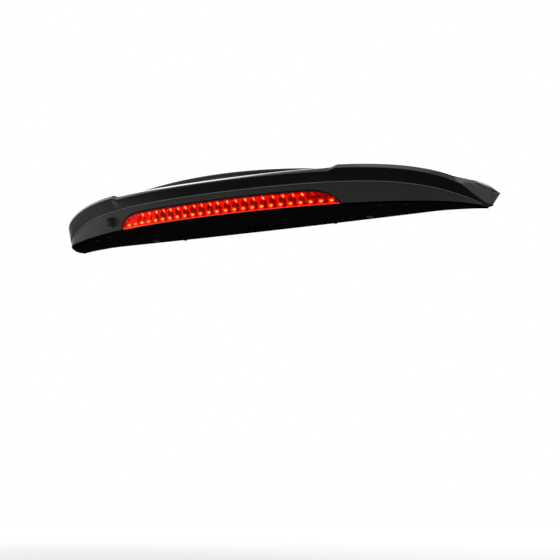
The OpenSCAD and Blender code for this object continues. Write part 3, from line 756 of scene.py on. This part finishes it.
def spun(profile: Sequence[Pair], steps: int = 48) -> BMesh:
    """Return a closed turned piece round local Z.

    Args:
        profile: Radius and height of each point, in mm, with the first and last on the axis.
        steps: The number of steps round the axis.
    """
    bm = bmesh.new()
    verts = [bm.verts.new((r * MM, 0, z * MM)) for r, z in profile]
    edges = [bm.edges.new(pair) for pair in zip(verts, verts[1:])]
    bmesh.ops.spin(bm, geom=verts + edges, cent=(0, 0, 0), axis=(0, 0, 1), angle=math.tau, steps=steps,
                   use_merge=True)
    bmesh.ops.remove_doubles(bm, verts=bm.verts, dist=1e-6)
    bmesh.ops.recalc_face_normals(bm, faces=bm.faces)
    return bm


def soften(bm: BMesh, width_mm: float, angle: float = 30.0, segments: int = 3) -> None:
    """Round every edge that turns by more than angle, in degrees."""
    sharp = [e for e in bm.edges if len(e.link_faces) == 2 and e.calc_face_angle(0.0) > math.radians(angle)]
    bmesh.ops.bevel(bm, geom=sharp, offset=width_mm * MM, offset_type="OFFSET", segments=segments, profile=0.5,
                    affect="EDGES", clamp_overlap=True, material=-1)


@dataclass
class Workshop:
    """Keeps the finishes and turns meshes into pieces of the scene."""

    nodes: dict[str, Object]
    shelf: dict[str, Material] = field(default_factory=dict)

    def material(self, finish: AnyFinish) -> Material:
        """Return the finish's material, built once."""
        if finish.name not in self.shelf:
            self.shelf[finish.name] = finish.build()
        return self.shelf[finish.name]

    def piece(self, name: str, bm: BMesh, finish: AnyFinish, slot: str,
              replaced: Sequence[str] = (), wall_mm: float = 0.0, sharp: float = 32.0,
              bands: Sequence[Finish] = ()) -> Object:
        """Make a piece of the scene from a mesh.

        Args:
            name: The piece's name.
            bm: Its mesh, in metres. It is freed here.
            finish: Its finish.
            slot: The record's material slot; it is not used.
            replaced: The CAD nodes that it stands for.
            wall_mm: The wall that a sheet gets inside.
            sharp: The angle past which an edge stays sharp, in degrees.
            bands: The finishes of its further bands.

        Returns:
            The new object.
        """
        for face in bm.faces:
            face.smooth = True
        for edge in bm.edges:
            edge.smooth = edge.calc_face_angle(0.0) < math.radians(sharp) if len(edge.link_faces) == 2 else True
        mesh = as_mesh(bm, name)
        for each in (finish, *bands):
            mesh.materials.append(self.material(each))
        made = linked(name, mesh)
        if wall_mm:
            wall = made.modifiers.new("wall", "SOLIDIFY")
            wall.thickness, wall.offset, wall.use_even_offset, wall.use_rim = wall_mm * MM, -1.0, False, True
        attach(made, BODY)
        if replaced:
            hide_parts(*replaced)
        log.info("piece %s: %d faces", name, len(mesh.polygons))
        return made

    def dress(self, finish: AnyFinish, *names: str) -> None:
        """Give CAD nodes that stay in view their finish."""
        for name in names:
            slots = self.nodes[name].data.materials
            slots.clear()
            slots.append(self.material(finish))
            log.info("dressed %s with %s", name, finish.name)

    def merged(self, node: str) -> BMesh:
        """Return a merged copy of a CAD node's loose triangles."""
        bm = bmesh.new()
        bm.from_mesh(self.nodes[node].data)
        bmesh.ops.remove_doubles(bm, verts=bm.verts, dist=1e-6)
        return bm


# The object's own pieces


@dataclass
class Shells:
    """Cap, base shell and lower shell, with the tapes and rivets that join them."""

    shop: Workshop
    cap_last: float = 0.997
    panel_last: float = 0.9955
    lower_last: float = 571.0
    end_round: float = 2.4
    face_points: int = 12
    panel_points: tuple[int, int] = (3, 17)

    def build(self) -> None:
        """Make every piece of the shells."""
        self.cap()
        self.base()
        self.lower()
        self.shop.dress(FOAM, "cap_tapes")
        self.shop.dress(MATTE_BLACK, "push_rivets")

    def lower(self) -> None:
        """Make the lower shell, its rear corners drawn in with the softer corners of the panel."""
        bm = self.shop.merged("lower_shell")
        last = max(abs(vert.co.x) for vert in bm.verts) / MM
        for vert in bm.verts:
            x, y = abs(vert.co.x) / MM, vert.co.y / MM + FORM.mount_back
            old = FORM.sweep_d * (x / FORM.tip_x) ** 2
            old += FORM.corner_d * (max(0.0, x - FORM.tip_x + FORM.solid_w) / FORM.solid_w) ** 3
            wide = x + (self.lower_last - last) * smooth(480, last, x)
            share = 1 - clamp01((y - old) / max(1.0, FORM.front_edge(x / FORM.tip_x).x - old))
            vert.co.x = math.copysign(wide * MM, vert.co.x)
            vert.co.y += max(0.0, FORM.sweep_y(wide / FORM.tip_x) - old) * share * MM
        self.shop.piece("lower_shell_skin", bm, UNDERSIDE_ABS_AND_SHADE, "gloss_under", ["lower_shell"])

    def cap(self) -> None:
        """Make the gloss black cap, hollow but for its closed ends."""
        every = stations(self.cap_last)
        sections = [FORM.cap_line(s) for s in every]
        rows = [FORM.placed(s, line) for s, line in zip(every, sections)]
        rows = self.end_rows(rows[0], -1)[::-1] + rows + self.end_rows(rows[-1], 1)
        bm = grid(rows)
        # the rear face takes the dim copy, and the faces from the lip's round upwards take the brighter copy: painted
        # highlights on them
        paint(bm, len(rows[0]), [self.face_points])
        self.close_end(bm, rows, every)
        self.shop.piece("spoiler_cap_skin", bm, GLOSS_ABS, "gloss_black", ["spoiler_cap"], wall_mm=FORM.cap_wall,
                        bands=[GLOSS_TOP])

    def end_rows(self, row: Line, side: int) -> list[Line]:
        """Return further rows that round the end of the cap off."""
        middle = sum(row, Vector()) / len(row)
        made = []
        for angle in map(math.radians, (30, 60, 90)):
            step = Vector((side * (self.end_round * math.sin(angle) * MM), 0, 0))
            inset = self.end_round * (1 - math.cos(angle)) * MM
            made.append([p + (middle - p).normalized() * min(inset, 0.3 * (middle - p).length) + step for p in row])
        return made

    def close_end(self, bm: BMesh, rows: list[Line], every: list[float]) -> None:
        """Close the underside and the outer face of both ends."""
        bm.verts.ensure_lookup_table()
        wide = len(rows[0])
        spare = (len(rows) - len(every)) // 2
        hollow = [spare + i for i, s in enumerate(every) if abs(s) < FORM.hollow_end]
        for reach, last in ((range(hollow[0] + 1), 0), (range(hollow[-1], len(rows)), len(rows) - 1)):
            pairs = [(bm.verts[i * wide], bm.verts[i * wide + wide - 1]) for i in reach]
            for (a, b), (c, d) in zip(pairs, pairs[1:]):
                bm.faces.new((a, b, d, c))
            # the outer face of each end takes the brighter copy too, for its painted highlights
            bm.faces.new([bm.verts[last * wide + j] for j in range(wide)]).material_index = 1
        bmesh.ops.recalc_face_normals(bm, faces=bm.faces)

    def base(self) -> None:
        """Make the satin grey base shell, with the opening for the light."""
        lamp = [FORM.lamp_half - FORM.lamp_end * (1 - t / 24) ** 2 for t in range(25)]
        every = stations(self.panel_last, extra=lamp)
        rows = [FORM.placed(s, FORM.base_line(s)) for s in every]
        bm = grid(rows)
        paint(bm, len(rows[0]), self.panel_points)
        self.shop.piece("base_shell_skin", bm, UNDERSIDE_ABS_AND_SHADE, "painted_grey", ["base_shell"],
                        wall_mm=FORM.base_wall, sharp=38, bands=[SATIN_GREY, GLOSS_ABS])
        self.bead()

    def bead(self) -> None:
        """Make the fine bead that closes the joint under the cap, in the lighter grey of its painted highlight."""
        rows = []
        for s in stations(self.panel_last - 0.004):
            step, fall = FORM.cap_step * FORM.turn(s), FORM.edge(s) - FORM.parting(s)
            low, deep = FORM.parting(s) + Vector((step * 0.45, -0.5)), Vector((step * 0.6, 0))
            foot = low + fall.normalized() * min(1.7, 0.25 * fall.length)
            rows.append(FORM.placed(s, [foot + deep, *rounded(foot + deep, foot, low, 0.5, 3), low, low + deep]))
        self.shop.piece("joint_bead", grid(rows), BEAD_HIGHLIGHT_GREY, "painted_grey", sharp=60)


@dataclass
class BrakeLight:
    """Lens, gasket, reflector, LEDs and the pieces behind them."""

    shop: Workshop
    lens_wall: float = 2.5
    led_count: int = 25
    led_radius: float = 1.9
    plate_depth: float = 6.0
    pocket_depth: float = 3.6
    plate_spans: int = 205
    pitch_spans: int = 16
    plate_rows: int = 24
    glow: LampGlow = field(default_factory=LampGlow)

    @property
    def last(self) -> float:
        """Station where the lens ends."""
        return (FORM.lamp_half - 5) / FORM.tip_x

    def build(self) -> None:
        """Make every piece of the light."""
        self.lens()
        self.gasket()
        self.reflector()
        self.lights()
        self.shop.dress(BLACK_PLASTIC, "lamp_housing", "board_components")
        self.shop.dress(BOARD, "led_board")
        self.shop.dress(BRASS, "socket_terminals")
        self.shop.dress(BLACK_STEEL, "lamp_screws")
        self.shop.dress(RUBBER, "lamp_pads")

    def ends(self, last: float) -> list[float]:
        """Return the stations of a piece of the light, closer along its rounded ends."""
        low = FORM.lamp_half - FORM.lamp_end
        half = [low * i / 40 for i in range(41)]
        half += [low + (last * FORM.tip_x - low) * math.sin(math.pi / 2 * i / 24) for i in range(1, 25)]
        half = [x / FORM.tip_x for x in half]
        return [-s for s in half[:0:-1]] + half

    def low(self, s: float, up: float = 0.0) -> Vector:
        """Return the lower edge of the lens, moved up along the panel, in mm."""
        return FORM.panel(s, (0.9 + up) / FORM.panel_rise(s))

    def high(self, s: float, down: float = 0.0) -> Vector:
        """Return the upper edge of the lens, moved down along the panel, in mm."""
        return FORM.panel(s, FORM.lamp_q(s, -FORM.lamp_gap) - down / FORM.panel_rise(s))

    def lens(self) -> None:
        """Make the lens with its returned edge."""
        back = Vector((FORM.lens_d, 0))
        rows = []
        for s in self.ends(self.last):
            a, b = self.low(s), self.high(s)
            short = a + Vector((self.lens_wall + 0.2, 0))
            line = [short, *rounded(short, a, b, 1.2, 4), mix(a, b, 0.3), mix(a, b, 0.5), mix(a, b, 0.7),
                    *rounded(a, b, b + back, 1.6, 4), b + back]
            rows.append(FORM.placed(s, line))
        self.shop.piece("lamp_lens_shell", grid(rows), RedLens(), "red_lens", ["lamp_lens"], wall_mm=self.lens_wall)

    def gasket(self) -> None:
        """Make the black ring of foam round the lens, whose wide upper band is partly painted shade under the panel's
        edge.
        """
        rows = []
        end = (FORM.lamp_half - 1.2) / FORM.tip_x
        for s in self.ends(end):
            outer = FORM.panel(s, FORM.lamp_q(s, 0) - 0.2 / FORM.panel_rise(s))
            inner = self.high(s, -0.15) if abs(s) <= self.last else self.low(s)
            a, b = inner + Vector((0.5, 0)), outer + Vector((0.5, 0))
            deep = Vector((FORM.lens_d - 1, 0))
            rows.append(FORM.placed(s, [a + deep, a, mix(a, b, 0.5) - Vector((0.25, 0)), b, b + deep]))
        self.shop.piece("lamp_gasket_ring", grid(rows), FOAM, "foam", ["lamp_gasket"], wall_mm=0.6)

    def pocket(self, x: float, h: float) -> float:
        """Return how deep the reflector lies at a place, in mm."""
        g = self.glow
        oval = g.oval(x / g.pitch_mm, g.pocket_at, h - g.pocket_h, g.pocket_size)
        cone = g.oval(x / g.pitch_mm, 0, h - g.low_row, (4.0, 4.0))
        return self.pocket_depth * smooth(1.07, 0.74, oval) + 1.6 * max(0.0, 1 - cone)

    def reflector(self) -> None:
        """Make the red reflector with its oval pockets and the lip below, its ends drawn forward to the lens."""
        g, spans, rows_up = self.glow, self.plate_spans, self.plate_rows
        near = self.lens_wall + 0.4
        last = spans * g.pitch_mm / self.pitch_spans
        rows, lamp = [], []
        for x in (g.pitch_mm / self.pitch_spans * i for i in range(-spans, spans + 1)):
            s = x / FORM.tip_x
            a, b = self.low(s, 0.3), self.high(s, 0.3)
            depth = mix(self.plate_depth, near, smooth(last - 12, last, abs(x)))
            line = [a + Vector((near, -0.2))]
            lamp.append((1.0, 1.0, 0.0, 1.0))
            for i in range(rows_up + 1):
                p = mix(a, b, i / rows_up)
                h = p.y - FORM.edge(s).y
                line.append(p + Vector((depth + self.pocket(x, h), 0)))
                lamp.append(g.masks(x, h, b.y - p.y))
            rows.append(FORM.placed(s, line))
        self.shop.piece("lamp_reflector_plate", grid(rows, lamp), g, "red_reflector", ["lamp_reflector"],
                        wall_mm=1.2, sharp=60)

    def lights(self) -> None:
        """Make the LED domes."""
        bm = bmesh.new()
        half = (self.led_count - 1) // 2
        for i in range(-half, half + 1):
            place = FORM.on_panel(i * self.glow.pitch_mm, self.glow.low_row, self.plate_depth + 0.6)
            bmesh.ops.create_uvsphere(bm, u_segments=12, v_segments=8, radius=self.led_radius * MM, matrix=place)
        self.shop.piece("lamp_led_domes", bm, LedLight(), "led_body", ["leds"])


@dataclass
class WasherJet:
    """Knob of the washer jet, with its nozzle, gasket, nut and barb."""

    shop: Workshop
    radius: float = 12.0
    length: float = 13.0
    neck: float = 8.0

    def build(self) -> None:
        """Make the knob and dress the pieces behind it."""
        r, h = self.radius, self.length
        knob = spun([(0, h - 0.2), (1.2, h - 0.2), (1.9, h + 0.5), (3.2, h + 1.2), (r - 2.4, h + 0.9),
                     (r - 1.2, h + 0.3), (r - 0.3, h - 0.9), (r, h - 2.2), (r, h - 7.4), (r - 0.5, h - 7.9),
                     (r - 0.5, h - 8.9), (r, h - 9.4), (r, 1.4), (self.neck, 1.4), (self.neck, -14), (0, -14)])
        soften(knob, 0.3, 40, 2)
        bmesh.ops.transform(knob, matrix=FORM.on_panel(FORM.jet_x, FORM.jet_h), verts=knob.verts)
        self.shop.piece("jet_knob", knob, JET_GREY, "grey_plastic", ["jet_body"])
        self.shop.dress(BLACK_PLASTIC, "jet_nozzle", "jet_nut", "jet_barb")
        self.shop.dress(RUBBER, "jet_gasket")


@dataclass
class Fixings:
    """Inserts, plates, pins, buffers and the seal along the front."""

    shop: Workshop

    def build(self) -> None:
        """Dress the pieces that hold the spoiler on the tailgate."""
        self.shop.dress(ZINC, "threaded_inserts", "mounting_plates")
        self.shop.dress(MATTE_BLACK, "locating_pins")
        self.shop.dress(RUBBER, "side_buffers", "front_seal")


@dataclass
class Studio:
    """Pale floor, soft light and a camera at the photograph's angle."""

    floor_z: float = -0.7
    camera_at: tuple[float, float, float] = (2.205, -2.8857, -0.5629)
    yaw: float = 36.612
    pitch: float = 7.007
    lens: float = 106.07
    sky: float = 0.75
    white_from: float = 0.8
    white_past: float = 2.3

    def build(self) -> None:
        """Make the floor, the world, the lights and the camera."""
        self.world()
        self.floor()
        self.softbox("overhead_softbox", (0.3, 0.1, 1.6), (0.0, 0.0, 0.0), 2.4, 0.9, 4.0)
        self.softbox("front_softbox", (-1.05, 1.35, 1.45), (0.0, 0.0, 0.05), 1.9, 1.4, 34.0)
        self.softbox("side_softbox", (2.1, 0.2, 1.1), (0.5, 0.1, 0.05), 1.1, 0.8, 5.5)
        self.camera()
        bpy.context.scene.view_settings.view_transform = "Standard"

    def seen(self, tree: NodeTree) -> NodeSocket:
        """Return 1 for camera, glossy and transmission rays."""
        path = add_node(tree, "LightPath")
        first = add_node(tree, "Math", {0: path.outputs["Is Camera Ray"], 1: path.outputs["Is Glossy Ray"]},
                         operation="MAXIMUM")
        return add_node(tree, "Math", {0: first.outputs[0], 1: path.outputs["Is Transmission Ray"]},
                        operation="MAXIMUM").outputs[0]

    def world(self) -> None:
        """Make a world that is white to the eye and softer as a light."""
        world = bpy.data.worlds.new("studio")
        world.use_nodes = True
        tree = world.node_tree
        tree.nodes.clear()
        strength = add_node(tree, "MapRange", {"Value": self.seen(tree), "To Min": self.sky, "To Max": 1.0})
        back = add_node(tree, "Background", {"Color": (1, 1, 1, 1), "Strength": strength.outputs["Result"]})
        add_node(tree, "OutputWorld", {"Surface": back.outputs["Background"]})
        bpy.context.scene.world = world

    def floor(self) -> None:
        """Make a wide pale floor that keeps the shadow and meets the white world without a line."""
        bm = bmesh.new()
        bmesh.ops.create_grid(bm, x_segments=1, y_segments=1, size=60.0,
                              matrix=Matrix.Translation((0, 0, self.floor_z)))
        mesh = as_mesh(bm, "floor")
        paper, tree = blank_material("pale_paper")
        place = add_node(tree, "TexCoord").outputs["Object"]
        away = add_node(tree, "VectorMath", {0: place}, operation="LENGTH").outputs["Value"]
        far = add_node(tree, "MapRange", {"Value": away, "From Min": self.white_from, "From Max": self.white_past},
                       interpolation_type="SMOOTHSTEP").outputs["Result"]
        share = add_node(tree, "Math", {0: far, 1: self.seen(tree)}, operation="MULTIPLY").outputs[0]
        matte = add_node(tree, "BsdfDiffuse", {"Color": (0.9, 0.9, 0.9, 1)})
        white = add_node(tree, "Emission", {"Color": (1, 1, 1, 1), "Strength": 1.0})
        both = add_node(tree, "MixShader", {0: share, 1: matte.outputs[0], 2: white.outputs[0]})
        add_node(tree, "OutputMaterial", {"Surface": both.outputs[0]})
        mesh.materials.append(paper)
        made = linked("floor", mesh)

    def softbox(self, name: str, at: tuple[float, float, float], aim: tuple[float, float, float], wide: float,
                deep: float, power: float) -> None:
        """Hang a softbox.

        Args:
            name: The light's name.
            at: Its place, in metres.
            aim: The point that it faces.
            wide: Its width, in metres.
            deep: Its depth, in metres.
            power: Its power, in watts.
        """
        light = bpy.data.lights.new(name, "AREA")
        light.shape, light.size, light.size_y, light.energy = "RECTANGLE", wide, deep, power
        made = linked(name, light)
        made.location = at
        made.rotation_euler = (Vector(aim) - Vector(at)).to_track_quat("-Z", "Y").to_euler()

    def camera(self) -> None:
        """Set the camera at the photograph's place and framing."""
        data = bpy.data.cameras.new("camera")
        data.lens, data.sensor_width = self.lens, 36.0
        made = linked("camera", data)
        made.location = self.camera_at
        made.rotation_euler = (math.radians(90 + self.pitch), 0, math.radians(self.yaw))
        bpy.context.scene.camera = made


def main() -> None:
    """Build the spoiler's pieces round the frame, then the studio."""
    logging.basicConfig(level=logging.INFO, format="%(name)s: %(message)s")
    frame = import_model()
    Studio().build()
    shop = Workshop(frame["nodes"])
    for make in (Shells, BrakeLight, WasherJet, Fixings):
        make(shop).build()
        log.info("built %s", make.__name__)


if __name__ == "__main__":
    main()
